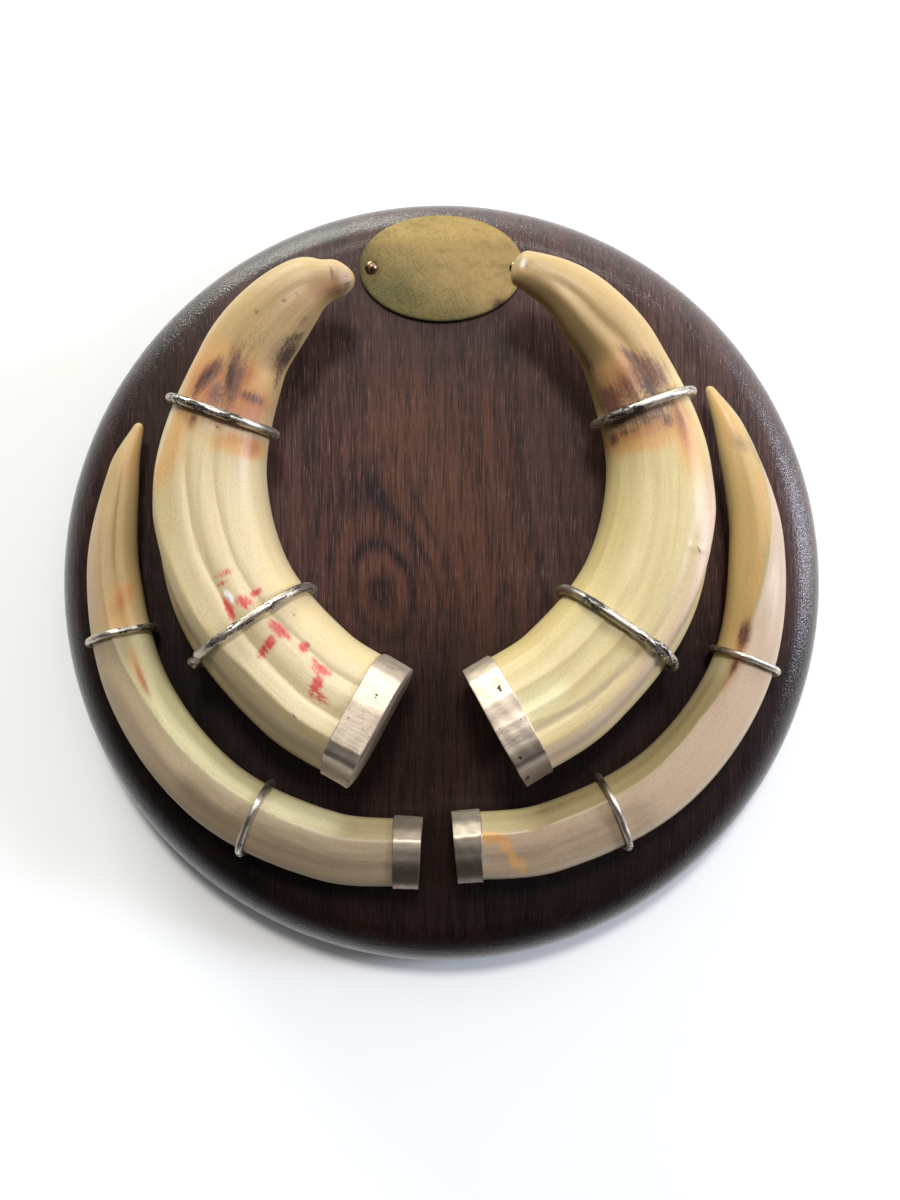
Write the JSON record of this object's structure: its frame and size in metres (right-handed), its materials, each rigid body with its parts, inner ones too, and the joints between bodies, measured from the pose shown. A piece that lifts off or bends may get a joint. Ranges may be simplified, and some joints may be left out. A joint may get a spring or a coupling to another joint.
{
  "type": "mounted warthog tusks on a wooden plaque",
  "caption": "Round dark wooden wall plaque with curved warthog tusks, broad and slim, mirrored left and right, with metal caps, wire straps and a blank oval plate.",
  "frame": {"origin": "middle of the board's flat back face, with the plaque lying on its back", "axes": "+Z out of the board's front, towards the tusks; +Y up the wall, towards the oval plate; +X to the right as seen from the front"},
  "size_m": [0.26, 0.26, 0.0644],
  "materials": {
    "wood": "dark polished rosewood",
    "ivory": "polished tusk ivory, cream to tan",
    "silver": "tarnished silver",
    "brass": "brushed, tarnished brass"
  },
  "bodies": {
    "root": {"board": "wood", "name_plate": "brass", "plate_pin_left": "brass", "plate_pin_right": "brass", "upper_tusk_left": "ivory", "upper_tusk_right": "ivory", "lower_tusk_left": "ivory", "lower_tusk_right": "ivory", "upper_cap_left": "silver", "upper_cap_right": "silver", "lower_cap_left": "silver", "lower_cap_right": "silver", "strap_upper_left_low": "silver", "strap_upper_left_high": "silver", "strap_upper_right_low": "silver", "strap_upper_right_high": "silver", "strap_lower_left_low": "silver", "strap_lower_left_high": "silver", "strap_lower_right_low": "silver", "strap_lower_right_high": "silver"}
  },
  "joints": []
}
